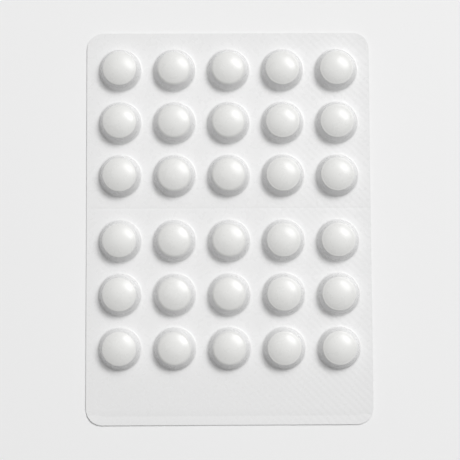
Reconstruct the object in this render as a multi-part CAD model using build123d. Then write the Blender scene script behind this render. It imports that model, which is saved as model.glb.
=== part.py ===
from build123d import *
import os
from math import cos, radians, sqrt, tan

# Pill blister pack, lying on its foil with the pockets up. Millimetres.
# The origin is the middle of the foil's underside. X runs across the columns,
# +Y towards the first row, and +Z up out of the pockets.

# Outline of the pack
pack_width = 68.0
pack_length = 94.0
corner_radius = 3.9

# Layout of the pockets: blocks of rows, parted by a wider web with the break line in it
columns = 5
blocks = 2
rows_in_block = 3
column_pitch = 13.0
row_pitch = 12.8
block_step = 15.7  # last row of one block to the first row of the next
first_row_inset = 9.1  # top edge of the pack to the middle of the first row

# Tablet: round, with a straight band between two domed faces
tablet_diameter = 7.5
tablet_band = 2.4
tablet_face_radius = 9.4
tablet_edge = 0.12  # the coat rounds the corners between band and faces

# Web materials
foil_thickness = 0.03
film_thickness = 0.25
pocket_wall = 0.15  # the film is thinner where it is drawn into a pocket

# Pocket
rim_clearance = 0.15  # all round the tablet, at the top of its band
roof_clearance = 0.2  # above the tablet
wall_draft = 18.0  # degrees from upright
foot_fillet = 0.5  # outside, where the wall meets the flat web
shoulder_fillet = 0.2  # inside, between the wall and the roof

# Break line: a row of shallow scores across the pack, midway between two blocks
score_length = 3.0
score_gap = 1.2
score_width = 0.16
score_depth = 0.08


def dish(radius, reach):
    """How far a round face of this radius falls from its middle out to reach."""
    return radius - sqrt(radius**2 - reach**2)


# Heights that follow from the stack of foil, tablet and film
tablet_radius = tablet_diameter / 2
tablet_face_depth = dish(tablet_face_radius, tablet_radius)
tablet_height = tablet_band + 2 * tablet_face_depth
film_top = foil_thickness + film_thickness

# Inside of a pocket
inner_apex = foil_thickness + tablet_height + roof_clearance
inner_rim_radius = tablet_radius + rim_clearance
inner_rim_height = inner_apex - dish(tablet_face_radius, inner_rim_radius)
wall_spread = tan(radians(wall_draft))
inner_foot_radius = inner_rim_radius + (inner_rim_height - foil_thickness) * wall_spread

# Outside of a pocket
outer_apex = inner_apex + pocket_wall
outer_rim_height = inner_rim_height + pocket_wall
outer_rim_radius = inner_rim_radius + pocket_wall / cos(radians(wall_draft)) - pocket_wall * wall_spread
outer_foot_radius = outer_rim_radius + (outer_rim_height - film_top) * wall_spread
roof_depth = outer_apex - outer_rim_height
outer_roof_radius = (outer_rim_radius**2 + roof_depth**2) / (2 * roof_depth)
pocket_edge_radius = outer_foot_radius + foot_fillet  # where the flat web starts

# Bends seen from the other side of the film
inner_foot_fillet = foot_fillet + pocket_wall
outer_shoulder_fillet = shoulder_fillet + pocket_wall


def column_places():
    """X of each column."""
    first = -column_pitch * (columns - 1) / 2
    return [first + column_pitch * column for column in range(columns)]


def row_places():
    """Y of each row, from the first row down, one block after another."""
    block_height = row_pitch * (rows_in_block - 1) + block_step
    first = pack_length / 2 - first_row_inset
    return [
        first - block * block_height - row * row_pitch
        for block in range(blocks)
        for row in range(rows_in_block)
    ]


def web(height, bottom):
    """A flat sheet with the pack's outline, standing on the level bottom."""
    outline = RectangleRounded(pack_width, pack_length, corner_radius)
    return extrude(Pos(0, 0, bottom) * outline, height)


def roof_line(radius, apex, rim_radius, rim_height):
    """Arc of a domed roof, from its middle out to its rim."""
    halfway = rim_radius / 2
    return ThreePointArc(
        (0, apex),
        (halfway, apex - dish(radius, halfway)),
        (rim_radius, rim_height),
    )


def pocket():
    """One drawn pocket, out to the edge of the flat web around it."""
    bends = (
        (outer_foot_radius, film_top, foot_fillet),
        (inner_foot_radius, foil_thickness, inner_foot_fillet),
        (outer_rim_radius, outer_rim_height, outer_shoulder_fillet),
        (inner_rim_radius, inner_rim_height, shoulder_fillet),
    )
    with BuildPart() as drawn:
        with BuildSketch(Plane.XZ) as section:
            with BuildLine():
                roof_line(outer_roof_radius, outer_apex, outer_rim_radius, outer_rim_height)
                Polyline(
                    (outer_rim_radius, outer_rim_height),
                    (outer_foot_radius, film_top),
                    (pocket_edge_radius, film_top),
                    (pocket_edge_radius, foil_thickness),
                    (inner_foot_radius, foil_thickness),
                    (inner_rim_radius, inner_rim_height),
                )
                roof_line(tablet_face_radius, inner_apex, inner_rim_radius, inner_rim_height)
                Line((0, inner_apex), (0, outer_apex))
            make_face()
            for radius, height, bend in bends:
                corner = section.vertices().sort_by_distance(Vector(radius, height))[0]
                fillet(corner, bend)
        revolve(axis=Axis.Z)
    return drawn.part


def score_places():
    """X of the middle of each score, evenly spread over the pack's width."""
    step = score_length + score_gap
    count = int((pack_width + score_gap) / step)
    first = -step * (count - 1) / 2
    return [first + step * score for score in range(count)]


def break_lines():
    """The scores of every break line, as cutters that reach score_depth into the film."""
    rows = row_places()
    cutter = Box(score_length, score_width, 2 * score_depth)
    return [
        Pos(x, (rows[after - 1] + rows[after]) / 2, film_top) * cutter
        for after in range(rows_in_block, blocks * rows_in_block, rows_in_block)
        for x in score_places()
    ]


def formed_film():
    """The plastic sheet with its pockets and break line."""
    places = [Pos(x, y, 0) for y in row_places() for x in column_places()]
    opening = extrude(Pos(0, 0, foil_thickness) * Circle(pocket_edge_radius), film_thickness)
    sheet = web(film_thickness, foil_thickness) - [place * opening for place in places]
    drawn = pocket()
    sheet = sheet + [place * drawn for place in places]
    return sheet - break_lines()


def tablet():
    """One tablet standing on the foil, at the middle of the pack."""
    lower = foil_thickness + tablet_face_depth
    upper = lower + tablet_band
    halfway = tablet_radius / 2
    lift = dish(tablet_face_radius, halfway)
    with BuildPart() as pressed:
        with BuildSketch(Plane.XZ) as section:
            with BuildLine():
                ThreePointArc((0, foil_thickness), (halfway, foil_thickness + lift), (tablet_radius, lower))
                Line((tablet_radius, lower), (tablet_radius, upper))
                roof_line(tablet_face_radius, upper + tablet_face_depth, tablet_radius, upper)
                Line((0, upper + tablet_face_depth), (0, foil_thickness))
            make_face()
            corners = section.vertices().filter_by_position(Axis.X, tablet_radius, tablet_radius)
            fillet(corners, tablet_edge)
        revolve(axis=Axis.Z)
    return pressed.part


def main():
    os.makedirs("parts", exist_ok=True)
    export_step(formed_film(), "parts/formed_film.step")
    export_step(web(foil_thickness, 0), "parts/lidding_foil.step")
    pill = tablet()
    for row, y in enumerate(row_places(), 1):
        for column, x in enumerate(column_places(), 1):
            export_step(Pos(x, y, 0) * pill, f"parts/tablet_r{row}c{column}.step")


main()
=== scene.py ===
import bpy
import math
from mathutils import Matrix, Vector


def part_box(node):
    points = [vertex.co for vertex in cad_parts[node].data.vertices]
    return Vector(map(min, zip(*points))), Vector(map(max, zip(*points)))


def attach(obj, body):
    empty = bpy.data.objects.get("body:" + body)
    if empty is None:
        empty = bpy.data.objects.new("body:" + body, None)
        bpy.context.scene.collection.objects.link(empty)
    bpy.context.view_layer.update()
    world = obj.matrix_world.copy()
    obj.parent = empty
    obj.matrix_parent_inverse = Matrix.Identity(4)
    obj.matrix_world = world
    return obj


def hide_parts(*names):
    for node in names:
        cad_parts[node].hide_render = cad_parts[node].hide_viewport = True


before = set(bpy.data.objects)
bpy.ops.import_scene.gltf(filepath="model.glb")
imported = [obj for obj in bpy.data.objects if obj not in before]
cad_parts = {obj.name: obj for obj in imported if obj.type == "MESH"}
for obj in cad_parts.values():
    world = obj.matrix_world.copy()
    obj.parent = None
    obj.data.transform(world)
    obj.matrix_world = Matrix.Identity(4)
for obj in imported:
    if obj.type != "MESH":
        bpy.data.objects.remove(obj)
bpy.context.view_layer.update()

# Pill blister pack: white drawn film with pockets of tablets, sealed to an aluminium foil.
# Metres. The pack lies on its foil; X runs across the columns and +Y towards the first row.

mm = 0.001

# ---------------------------------------------------------------- sizes taken from the frame

film_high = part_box("formed_film")[1]
foil_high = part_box("lidding_foil")[1]
tablet_nodes = sorted(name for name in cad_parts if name.startswith("tablet_"))
first_low, first_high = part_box(tablet_nodes[0])

half_width = film_high[0]
half_length = film_high[1]
foil_top = foil_high[2]
pocket_top = film_high[2]
tablet_radius = (first_high[0] - first_low[0]) / 2


def middle(node):
    """Middle of a node's box, as seen from above."""
    low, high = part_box(node)
    return (low[0] + high[0]) / 2, (low[1] + high[1]) / 2


pocket_places = {name: middle(name) for name in tablet_nodes}
column_lines = sorted({round(x, 6) for x, y in pocket_places.values()})
row_lines = sorted({round(y, 6) for x, y in pocket_places.values()}, reverse=True)

# ---------------------------------------------------------------- sizes of the sheet and its pockets

corner_radius = 3.9 * mm
film_thickness = 0.25 * mm
pocket_wall = 0.15 * mm
rim_clearance = 0.15 * mm
face_radius = 9.4 * mm       # the roof follows the tablet's domed face
wall_draft = math.radians(18)
foot_fillet = 0.5 * mm
crisp_shoulder = 0.22 * mm    # how far the bend at a roof's edge reaches
soft_shoulder = 0.55 * mm
deep_crease = 0.05 * mm       # pressed just inside a roof's edge
faint_crease = 0.02 * mm
smooth_angle = math.radians(35)
segments = 48                # round a pocket, a multiple of four

film_top = foil_top + film_thickness
roof_radius = face_radius + pocket_wall

roof_steps = 6               # rings from the crease in to the middle of a roof
crease_width = 0.13 * mm
draw_ring = 0.015 * mm       # height of the faint rings that drawing leaves on a wall
draw_rings = 2.5
web_rings = 4                # rings of faces from a pocket's foot out to its cell's edge
flange_width = 0.8 * mm      # flat ring round a pocket, before it is spread over its cell

column_pitch = column_lines[1] - column_lines[0]
row_over_break = 2
row_under_break = 3
break_line = (row_lines[row_over_break] + row_lines[row_under_break]) / 2
score_half = 0.12 * mm
score_depth = 0.02 * mm
last_row_end = row_lines[-1] - (row_lines[0] - row_lines[1]) / 2
band_lines = [(-39 * mm, 0), (-43 * mm, 0), (-44.8 * mm, 0), (-44.9 * mm, 0.008 * mm),
              (-45 * mm, -0.008 * mm), (-half_length, 0)]

wave_height = 0.1 * mm
curl_height = 0.14 * mm
knurl_depth = 0.012 * mm
knurl_pitch = 0.5 * mm
foil_sheet = 0.018 * mm
merge_gap = 0.01 * mm
near = 0.005 * mm
edge_room = 0.03 * mm
lie = 0.03 * mm              # how far the web stands off the table where it lies flattest

# ---------------------------------------------------------------- colours and light

film_white = (0.81, 0.81, 0.81, 1)
roof_white = (0.79, 0.79, 0.775, 1)
foil_dull = (0.72, 0.72, 0.73, 1)
foil_bright = (0.84, 0.84, 0.85, 1)
tablet_pale = (0.86, 0.84, 0.78, 1)
tablet_warm = (0.82, 0.79, 0.71, 1)
floor_pale = (0.9, 0.9, 0.9, 1)
key_power = 20.0             # watts
fill_power = 52.0
room_strength = 0.17
floor_size = 4


def dish(radius, reach):
    """How far a round face of this radius falls from its middle out to reach."""
    return radius - math.sqrt(radius**2 - reach**2)


rim_radius = tablet_radius + rim_clearance + pocket_wall
rim_height = pocket_top - dish(face_radius + pocket_wall, rim_radius)
foot_radius = rim_radius + (rim_height - film_top) * math.tan(wall_draft)
foot_reach = foot_fillet * math.tan((math.pi / 2 - wall_draft) / 2)


# ---------------------------------------------------------------- helpers for modelling


def select_none():
    """Leaves nothing selected and no object in edit mode."""
    if bpy.context.object and bpy.context.object.mode != "OBJECT":
        bpy.ops.object.mode_set(mode="OBJECT")
    bpy.ops.object.select_all(action="DESELECT")


def pick(*pieces):
    """Selects these pieces and nothing else, the first one active."""
    select_none()
    for piece in pieces:
        piece.select_set(True)
    bpy.context.view_layer.objects.active = pieces[0]


def settle(piece):
    """Puts the piece's place, turn and size into its mesh."""
    pick(piece)
    bpy.ops.object.transform_apply(location=True, rotation=True, scale=True)


def edit(piece, mode="VERT"):
    """Opens a piece in edit mode with nothing selected."""
    pick(piece)
    bpy.ops.object.mode_set(mode="EDIT")
    bpy.ops.mesh.select_mode(type=mode)
    bpy.ops.mesh.select_all(action="DESELECT")


def select_by(piece, wanted, kind="vertices"):
    """Selects, in edit mode, the elements that wanted() accepts."""
    bpy.ops.mesh.select_all(action="DESELECT")
    bpy.ops.object.mode_set(mode="OBJECT")
    for item in getattr(piece.data, kind):
        item.select = bool(wanted(item))
    bpy.ops.object.mode_set(mode="EDIT")


def join(pieces):
    """Makes one piece of several, each edge that meets another merged with it."""
    pick(*pieces)
    bpy.ops.object.join()
    whole = bpy.context.object
    edit(whole)
    bpy.ops.mesh.select_all(action="SELECT")
    bpy.ops.mesh.remove_doubles(threshold=merge_gap)
    select_none()
    return whole


def copy_at(piece, x, y):
    """A copy of a piece with its own mesh, moved to a place on the pack."""
    twin = piece.copy()
    twin.data = piece.data.copy()
    bpy.context.collection.objects.link(twin)
    twin.location = (x, y, 0)
    settle(twin)
    return twin


def scrap(*pieces):
    """Throws away the patterns that the copies were made from."""
    for piece in pieces:
        bpy.data.objects.remove(piece, do_unlink=True)


# ---------------------------------------------------------------- the shape of one pocket


def foot_arc(steps=4):
    """The outside of the bend from the flat web up into the wall."""
    edge = foot_radius + foot_reach
    sweep = math.pi / 2 - wall_draft
    points = []
    for step in range(steps + 1):
        turn = sweep * step / steps
        points.append((edge - foot_fillet * math.sin(turn),
                       film_top + foot_fillet * (1 - math.cos(turn))))
    return points


def shoulder_arc(bend, steps=4):
    """The bend from the wall into the roof, reaching this far along each of them."""
    roof_slope = math.asin(rim_radius / roof_radius)
    on_wall = Vector((rim_radius + bend * math.sin(wall_draft), rim_height - bend * math.cos(wall_draft)))
    on_roof = Vector((rim_radius - bend * math.cos(roof_slope), rim_height + bend * math.sin(roof_slope)))
    corner = Vector((rim_radius, rim_height))
    points = []
    for step in range(steps + 1):
        t = step / steps
        points.append(tuple(on_wall * (1 - t)**2 + corner * 2 * t * (1 - t) + on_roof * t**2))
    return points


def wall_points(start, end, steps=8):
    """The drawn wall, with the faint rings that stretching leaves on it."""
    points = []
    for step in range(1, steps):
        t = step / steps
        ring = draw_ring * math.sin(2 * math.pi * draw_rings * t)
        points.append((start[0] + (end[0] - start[0]) * t + ring, start[1] + (end[1] - start[1]) * t))
    return points


def roof_points(start, groove):
    """The roof over the tablet, with the dark crease just inside its edge."""
    reaches = [start[0] - crease_width * k for k in (1, 2, 3)]
    reaches += [reaches[-1] * k / roof_steps for k in range(roof_steps - 1, 0, -1)]
    points = []
    for reach in reaches:
        press = groove * math.exp(-((start[0] - crease_width - reach) / crease_width)**2)
        points.append((reach, pocket_top - dish(roof_radius, reach) - press))
    return points


def pocket(name, bend, groove):
    """The outer skin of one pocket at the origin, drawn up ring by ring from its foot."""
    foot = foot_arc()
    shoulder = shoulder_arc(bend)
    flange = [(foot[0][0] + flange_width * k / web_rings, film_top) for k in range(web_rings, 0, -1)]
    rings = flange + foot + wall_points(foot[-1], shoulder[0]) + shoulder + roof_points(shoulder[-1], groove)
    select_none()
    bpy.ops.mesh.primitive_circle_add(vertices=segments, radius=rings[0][0], fill_type="NOTHING",
                                      location=(0, 0, rings[0][1]))
    piece = bpy.context.object
    piece.name = name
    settle(piece)
    edit(piece)
    bpy.ops.mesh.select_all(action="SELECT")
    for before, after in zip(rings, rings[1:]):
        bpy.ops.mesh.extrude_region_move(
            TRANSFORM_OT_translate={"value": (0, 0, after[1] - before[1])})
        share = after[0] / before[0]
        bpy.ops.transform.resize(value=(share, share, 1), center_override=(0, 0, 0))
    bpy.ops.mesh.extrude_region_move(
        TRANSFORM_OT_translate={"value": (0, 0, pocket_top - rings[-1][1])})
    bpy.ops.mesh.merge(type="CENTER")
    select_none()
    return piece


# ---------------------------------------------------------------- the web round the pockets


def cell_edge(turn, low, high):
    """The place on a cell's edge that a turn round its pocket leads to, an equal share to each side."""
    share = (turn / (math.pi / 2) + 0.5) % 4
    side, along = int(share), share % 1
    if side == 0:
        return high[0], low[1] + (high[1] - low[1]) * along
    if side == 1:
        return high[0] - (high[0] - low[0]) * along, high[1]
    if side == 2:
        return low[0], high[1] - (high[1] - low[1]) * along
    return low[0] + (high[0] - low[0]) * along, low[1]


def web_cell(piece, x, y, low, high):
    """Spreads the flat flange round a pocket until it fills the pocket's rectangle of web."""
    edge = foot_radius + foot_reach
    for vertex in piece.data.vertices:
        dx, dy = vertex.co.x - x, vertex.co.y - y
        spread = (math.hypot(dx, dy) - edge) / flange_width
        if spread > 0.01:
            turn = math.atan2(dy, dx)
            to_x, to_y = cell_edge(turn, low, high)
            vertex.co.x = (x + edge * math.cos(turn)) * (1 - spread) + to_x * spread
            vertex.co.y = (y + edge * math.sin(turn)) * (1 - spread) + to_y * spread
    return piece


def pull_band(sheet):
    """Draws the plain bottom band down from the last row, with a crease pressed across it."""
    edit(sheet, "EDGE")
    points = sheet.data.vertices
    select_by(sheet, lambda e: all(abs(points[k].co.y - last_row_end) < near for k in e.vertices), "edges")
    here = last_row_end
    for y, drop in band_lines:
        bpy.ops.mesh.extrude_region_move(TRANSFORM_OT_translate={"value": (0, y - here, -drop)})
        here = y
    select_none()


def close_break_line(sheet):
    """Joins the two blocks with the strip that carries the tear line, and presses its dashes."""
    edit(sheet, "EDGE")
    points = sheet.data.vertices

    def on_gap(edge):
        return all(abs(abs(points[k].co.y - break_line) - score_half) < near for k in edge.vertices)

    select_by(sheet, on_gap, "edges")
    bpy.ops.mesh.bridge_edge_loops(number_cuts=1, interpolation="LINEAR")
    bpy.ops.mesh.select_mode(type="VERT")
    step = column_pitch / (segments // 4)

    def on_dash(vertex):
        count = round((vertex.co.x + half_width) / step)
        return abs(vertex.co.y - break_line) < near and abs(vertex.co.x) < half_width - mm and count % 4

    select_by(sheet, on_dash)
    bpy.ops.transform.translate(value=(0, 0, -score_depth))
    select_none()


# ---------------------------------------------------------------- how the sheet bends and rounds


def web_share(x, y):
    """None of the sheet's swell inside a pocket, and all of it out on the web."""
    reach = min(math.hypot(x - px, y - py) for px, py in pocket_places.values())
    t = (reach - rim_radius) / (foot_radius + foot_reach - rim_radius)
    t = min(1, max(0, t))
    return t * t * (3 - 2 * t)


def swell(x, y):
    """How far the sheet stands off a flat table: soft waves, and edges that curl up a little."""
    wave = wave_height * (1 + math.sin(x / (9 * mm) + 1.3) * math.cos(y / (11 * mm))) / 2
    top_curl = curl_height * max(0, (y - half_length + 6 * mm) / (6 * mm))**2
    right_curl = curl_height * max(0, (x - half_width + 5 * mm) / (5 * mm))**2
    corner_reach = math.hypot(x + half_width, y + half_length)
    corner_curl = curl_height * max(0, 1 - corner_reach / (9 * mm))**2
    return (lie + wave + top_curl + right_curl + corner_curl) * web_share(x, y)


def round_corner(x, y):
    """Slides a point of the square sheet into its rounded corner, just inside the cut edge."""
    x *= 1 - edge_room / half_width
    y *= 1 - edge_room / half_length
    centre_x = math.copysign(half_width - corner_radius, x)
    centre_y = math.copysign(half_length - corner_radius, y)
    dx, dy = x - centre_x, y - centre_y
    if dx * centre_x <= 0 or dy * centre_y <= 0:
        return x, y
    share = max(abs(dx), abs(dy)) / math.hypot(dx, dy)
    return centre_x + dx * share, centre_y + dy * share


def shape_sheet(sheet):
    """Rounds the sheet's corners and lets it swell, in one pass over its points."""
    select_none()
    for vertex in sheet.data.vertices:
        vertex.co.z += swell(vertex.co.x, vertex.co.y)
        vertex.co.x, vertex.co.y = round_corner(vertex.co.x, vertex.co.y)


def face_up(sheet):
    """Turns every face of an open sheet the same way, upwards."""
    edit(sheet, "FACE")
    bpy.ops.mesh.select_all(action="SELECT")
    bpy.ops.mesh.normals_make_consistent(inside=False)
    select_none()
    total = sum(face.normal.z * face.area for face in sheet.data.polygons)
    if total < 0:
        edit(sheet, "FACE")
        bpy.ops.mesh.select_all(action="SELECT")
        bpy.ops.mesh.flip_normals()
        select_none()


def apply(piece, modifier):
    """Applies a modifier to its piece."""
    pick(piece)
    bpy.ops.object.modifier_apply(modifier=modifier.name)


# ---------------------------------------------------------------- the formed film


def middles(lines):
    """Places midway between neighbouring lines."""
    return [(a + b) / 2 for a, b in zip(lines, lines[1:])]


def make_film():
    """The formed film: web, pockets, tear line and band, given its thickness."""
    crisp = pocket("crisp_pocket", crisp_shoulder, deep_crease)
    plain = pocket("plain_pocket", crisp_shoulder, faint_crease)
    soft = pocket("soft_pocket", soft_shoulder, 0)
    kinds = [plain, soft, soft, crisp, crisp]
    sides = [-half_width] + middles(column_lines) + [half_width]
    ends = [half_length] + middles(row_lines) + [last_row_end]
    cells = []
    for row, y in enumerate(row_lines):
        high = ends[row] - (score_half if row == row_under_break else 0)
        low = ends[row + 1] + (score_half if row == row_over_break else 0)
        for column, x in enumerate(column_lines):
            copy = copy_at(kinds[column], x, y)
            cells.append(web_cell(copy, x, y, (sides[column], low), (sides[column + 1], high)))
    scrap(crisp, plain, soft)
    film = join(cells)
    close_break_line(film)
    pull_band(film)
    face_up(film)
    shape_sheet(film)
    web = film.vertex_groups.new(name="web")
    web.add([v.index for v in film.data.vertices if v.co.z < film_top + foot_fillet], 1, "REPLACE")
    body = film.modifiers.new("body", "SOLIDIFY")
    body.thickness = film_thickness
    body.offset = -1
    body.vertex_group = "web"
    body.thickness_vertex_group = pocket_wall / film_thickness
    apply(film, body)
    film.vertex_groups.clear()
    film.name = film.data.name = "film_skin"
    pick(film)
    bpy.ops.object.shade_smooth_by_angle(angle=smooth_angle)
    return film


# ---------------------------------------------------------------- the lidding foil


def make_foil():
    """The lidding foil, with the small knurl that the sealing tool presses into its back."""
    select_none()
    bpy.ops.mesh.primitive_grid_add(x_subdivisions=round(2 * half_width / knurl_pitch),
                                    y_subdivisions=round(2 * half_length / knurl_pitch),
                                    size=1, location=(0, 0, knurl_depth))
    foil = bpy.context.object
    foil.scale = (2 * half_width, 2 * half_length, 1)
    settle(foil)
    edit(foil)

    def on_knurl(vertex):
        count = round(vertex.co.x / knurl_pitch) + round(vertex.co.y / knurl_pitch)
        return count % 2 and web_share(vertex.co.x, vertex.co.y) == 1

    select_by(foil, on_knurl)
    bpy.ops.transform.translate(value=(0, 0, -knurl_depth))
    shape_sheet(foil)
    body = foil.modifiers.new("body", "SOLIDIFY")
    body.thickness = foil_sheet
    body.offset = 1
    apply(foil, body)
    foil.name = foil.data.name = "foil_back"
    return foil


# ---------------------------------------------------------------- materials


class Nodes:
    """A material's nodes, added and joined by name."""

    def __init__(self, name):
        self.material = bpy.data.materials.new(name)
        self.material.use_nodes = True
        self.tree = self.material.node_tree
        self.shader = self.tree.nodes["Principled BSDF"]
        self.place = self.add("ShaderNodeTexCoord").outputs["Object"]

    def add(self, kind, **values):
        node = self.tree.nodes.new(kind)
        for key, value in values.items():
            if hasattr(node, key):
                setattr(node, key, value)
            else:
                node.inputs[key.replace("_", " ")].default_value = value
        return node

    def link(self, output, socket):
        self.tree.links.new(output, socket)

    def noise(self, scale, detail=2):
        node = self.add("ShaderNodeTexNoise", Scale=scale, Detail=detail)
        self.link(self.place, node.inputs["Vector"])
        return node.outputs["Fac"]

    def ramp(self, value, low, high, start, end):
        node = self.add("ShaderNodeMapRange", clamp=True)
        for socket, number in zip(("From Min", "From Max", "To Min", "To Max"), (low, high, start, end)):
            node.inputs[socket].default_value = number
        self.link(value, node.inputs["Value"])
        return node.outputs["Result"]

    def mix(self, share, first, second):
        node = self.add("ShaderNodeMix", data_type="RGBA")
        self.link(share, node.inputs[0])
        node.inputs[6].default_value = first
        node.inputs[7].default_value = second
        return node.outputs[2]

    def product(self, first, second):
        node = self.add("ShaderNodeMath", operation="MULTIPLY")
        self.link(first, node.inputs[0])
        self.link(second, node.inputs[1])
        return node.outputs[0]

    def bump(self, height, depth, under=None):
        node = self.add("ShaderNodeBump", Strength=1.0, Distance=depth)
        self.link(height, node.inputs["Height"])
        if under:
            self.link(under, node.inputs["Normal"])
        return node.outputs["Normal"]


def film_finish():
    """White drawn film, a little warmer where its thin roofs lie close over the tablets."""
    kit = Nodes("white_formed_film")
    axes = kit.add("ShaderNodeSeparateXYZ")
    kit.link(kit.place, axes.inputs[0])
    roof = kit.ramp(axes.outputs["Z"], rim_height - 0.2 * mm, rim_height + 0.1 * mm, 0, 1)
    kit.link(kit.mix(roof, film_white, roof_white), kit.shader.inputs["Base Color"])
    rough = kit.ramp(kit.noise(600), 0.3, 0.7, 0.24, 0.34)
    kit.link(rough, kit.shader.inputs["Roughness"])
    knurl = kit.add("ShaderNodeTexWave", bands_direction="DIAGONAL", Scale=330.0, Distortion=0.4)
    kit.link(kit.place, knurl.inputs["Vector"])
    low_web = kit.ramp(axes.outputs["Z"], film_top + 0.25 * mm, film_top + 0.4 * mm, 1, 0)
    right = kit.ramp(axes.outputs["X"], 0, 24 * mm, 0.15, 1)
    pressed = kit.product(kit.product(knurl.outputs["Fac"], low_web), right)
    grain = kit.bump(kit.noise(2500, 4), 0.004 * mm)
    kit.link(kit.bump(pressed, 0.01 * mm, grain), kit.shader.inputs["Normal"])
    return kit.material


def foil_finish():
    """Hard rolled aluminium with a fine rolling grain and dull and bright patches."""
    kit = Nodes("rolled_foil")
    kit.shader.inputs["Metallic"].default_value = 1
    kit.link(kit.mix(kit.noise(90), foil_dull, foil_bright), kit.shader.inputs["Base Color"])
    stretch = kit.add("ShaderNodeMapping")
    stretch.inputs["Scale"].default_value = (9000, 300, 300)
    kit.link(kit.place, stretch.inputs["Vector"])
    grain = kit.add("ShaderNodeTexNoise", Scale=1.0, Detail=3)
    kit.link(stretch.outputs["Vector"], grain.inputs["Vector"])
    kit.link(kit.ramp(grain.outputs["Fac"], 0.3, 0.7, 0.28, 0.42), kit.shader.inputs["Roughness"])
    kit.link(kit.bump(grain.outputs["Fac"], 0.003 * mm), kit.shader.inputs["Normal"])
    return kit.material


def tablet_finish():
    """Film-coated tablet, cream with a faint orange-peel surface."""
    kit = Nodes("coated_tablet")
    kit.link(kit.mix(kit.noise(1500, 3), tablet_pale, tablet_warm), kit.shader.inputs["Base Color"])
    kit.link(kit.ramp(kit.noise(900), 0.3, 0.7, 0.42, 0.55), kit.shader.inputs["Roughness"])
    kit.link(kit.bump(kit.noise(3500, 3), 0.008 * mm), kit.shader.inputs["Normal"])
    return kit.material


def floor_finish():
    """Pale matt studio floor."""
    kit = Nodes("pale_floor")
    kit.shader.inputs["Base Color"].default_value = floor_pale
    kit.shader.inputs["Roughness"].default_value = 0.9
    kit.shader.inputs["Specular IOR Level"].default_value = 0.1
    return kit.material


def wear(piece, material):
    """Gives a piece this material all over."""
    piece.data.materials.clear()
    piece.data.materials.append(material)


# ---------------------------------------------------------------- floor, light and camera


def make_floor():
    """A plain floor under the pack."""
    select_none()
    bpy.ops.mesh.primitive_plane_add(size=floor_size, location=(0, 0, 0))
    floor = bpy.context.object
    floor.name = "floor"
    wear(floor, floor_finish())


def soft_box(name, azimuth, elevation, distance, width, height, power):
    """A rectangular soft light aimed at the middle of the pack."""
    data = bpy.data.lights.new(name, "AREA")
    data.shape = "RECTANGLE"
    data.size = width
    data.size_y = height
    data.energy = power
    lamp = bpy.data.objects.new(name, data)
    bpy.context.collection.objects.link(lamp)
    around, up = math.radians(azimuth), math.radians(elevation)
    toward = Vector((math.cos(up) * math.cos(around), math.cos(up) * math.sin(around), math.sin(up)))
    lamp.location = toward * distance
    lamp.rotation_euler = toward.to_track_quat("Z", "Y").to_euler()


def light_room():
    """A key light from the upper right, a broad fill above, and a pale room all round."""
    soft_box("key", 47, 55, 2.0, 1.1, 0.56, key_power)
    soft_box("fill", 60, 68, 3.0, 3.6, 3.6, fill_power)
    world = bpy.context.scene.world or bpy.data.worlds.new("room")
    bpy.context.scene.world = world
    world.use_nodes = True
    room = world.node_tree.nodes["Background"]
    room.inputs["Color"].default_value = (1, 1, 1, 1)
    room.inputs["Strength"].default_value = room_strength


def make_camera():
    """A long lens well above the pack, leaning a few degrees off straight down."""
    data = bpy.data.cameras.new("camera")
    data.lens = 111.67
    data.sensor_width = 36
    data.clip_start = 0.01
    camera = bpy.data.objects.new("camera", data)
    bpy.context.collection.objects.link(camera)
    lean = Vector((0.0878, -0.0065, -0.0047))
    camera.rotation_mode = "AXIS_ANGLE"
    camera.rotation_axis_angle = (lean.length, *lean.normalized())
    camera.location = (-2.0 * mm, -30.65 * mm, 340 * mm)
    bpy.context.scene.camera = camera


# ---------------------------------------------------------------- put together

film = make_film()
foil = make_foil()
wear(film, film_finish())
wear(foil, foil_finish())
coat = tablet_finish()
for name in tablet_nodes:
    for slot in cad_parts[name].material_slots:
        slot.material = coat

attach(film, "root")
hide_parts("formed_film")
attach(foil, "root")
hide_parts("lidding_foil")

make_floor()
light_room()
make_camera()
bpy.context.scene.view_settings.view_transform = "Standard"
